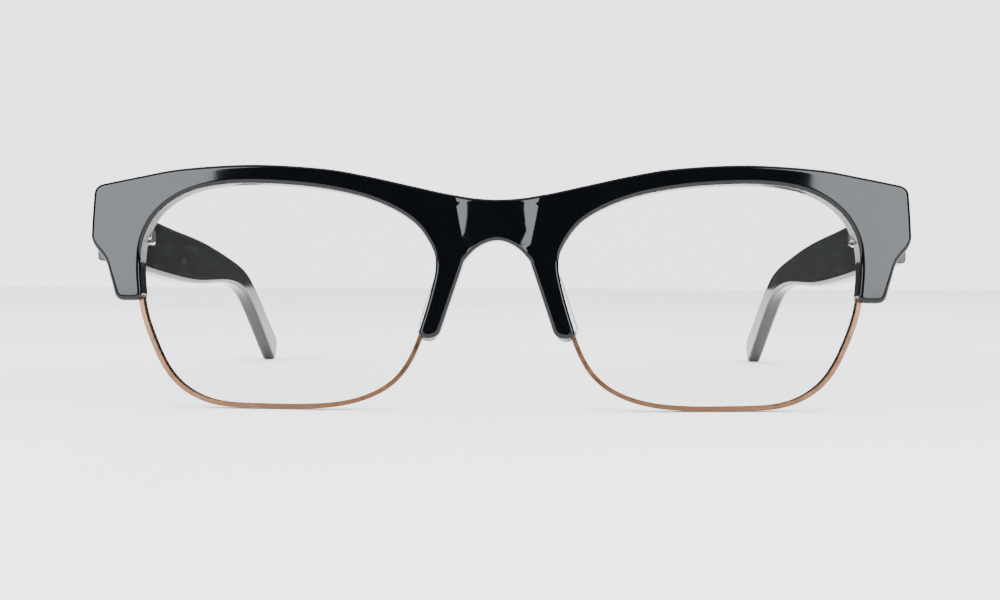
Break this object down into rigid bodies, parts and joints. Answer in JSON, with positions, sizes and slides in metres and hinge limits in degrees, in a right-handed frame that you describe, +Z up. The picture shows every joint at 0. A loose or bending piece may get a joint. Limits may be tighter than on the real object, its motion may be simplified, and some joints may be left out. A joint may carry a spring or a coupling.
{
  "type": "half rim eyeglasses",
  "caption": "Half rim eyeglasses: a glossy brow bar and bridge in one piece, thin metal lower rims, clear lenses, and sprung temples that fold.",
  "frame": {"origin": "on the surface the glasses stand on, under the middle of their box, in the mirror plane between the two lenses", "axes": "+X towards the wearer's left, +Y back along the open temples, +Z up; the front leans back as the glasses stand on both rims and both temple tips"},
  "size_m": [0.1402, 0.1492, 0.0411],
  "materials": {
    "black_acetate": "polished",
    "clear_acetate": "polished",
    "clear_lens": "polished",
    "copper_rim": "satin",
    "hinge_steel": "satin",
    "screw_steel": "satin",
    "spring_steel": "satin",
    "core_wire": "satin",
    "washer_plastic": "matte"
  },
  "bodies": {
    "front": {"brow_front": "black_acetate", "left_lower_rim": "copper_rim", "left_rim_tab": "copper_rim", "left_rim_screw": "screw_steel", "left_lens": "clear_lens", "left_nose_pad": "clear_acetate", "left_hinge_front_leaf": "hinge_steel", "left_hinge_rivets": "hinge_steel", "left_hinge_screw": "screw_steel", "left_hinge_washers": "washer_plastic", "right_lower_rim": "copper_rim", "right_rim_tab": "copper_rim", "right_rim_screw": "screw_steel", "right_lens": "clear_lens", "right_nose_pad": "clear_acetate", "right_hinge_front_leaf": "hinge_steel", "right_hinge_rivets": "hinge_steel", "right_hinge_screw": "screw_steel", "right_hinge_washers": "washer_plastic"},
    "left_hinge_slider": {"left_hinge_slider": "hinge_steel", "left_spring_stop": "hinge_steel"},
    "left_temple": {"left_temple": "black_acetate", "left_temple_core": "core_wire", "left_hinge_housing": "hinge_steel", "left_hinge_spring": "spring_steel"},
    "right_hinge_slider": {"right_hinge_slider": "hinge_steel", "right_spring_stop": "hinge_steel"},
    "right_temple": {"right_temple": "black_acetate", "right_temple_core": "core_wire", "right_hinge_housing": "hinge_steel", "right_hinge_spring": "spring_steel"}
  },
  "joints": [
    {"name": "left_temple_fold", "type": "hinge", "parent": "front", "child": "left_hinge_slider", "pos_m": [0.0649, -0.06224, 0.03017], "axis": [0, 0.0468, 0.9989], "range_deg": [0, 91.6]},
    {"name": "left_spring_slide", "type": "slide", "parent": "left_hinge_slider", "child": "left_temple", "axis": [0, 0.9989, -0.0468], "range_m": [0, 0.0012], "stiffness_N_per_m": 900, "springref_m": -0.0015, "deforming": ["left_hinge_spring"]},
    {"name": "right_temple_fold", "type": "hinge", "parent": "front", "child": "right_hinge_slider", "pos_m": [-0.0649, -0.06224, 0.03017], "axis": [0, -0.0468, -0.9989], "range_deg": [0, 86.8]},
    {"name": "right_spring_slide", "type": "slide", "parent": "right_hinge_slider", "child": "right_temple", "axis": [0, 0.9989, -0.0468], "range_m": [0, 0.0012], "stiffness_N_per_m": 900, "springref_m": -0.0015, "deforming": ["right_hinge_spring"]}
  ]
}
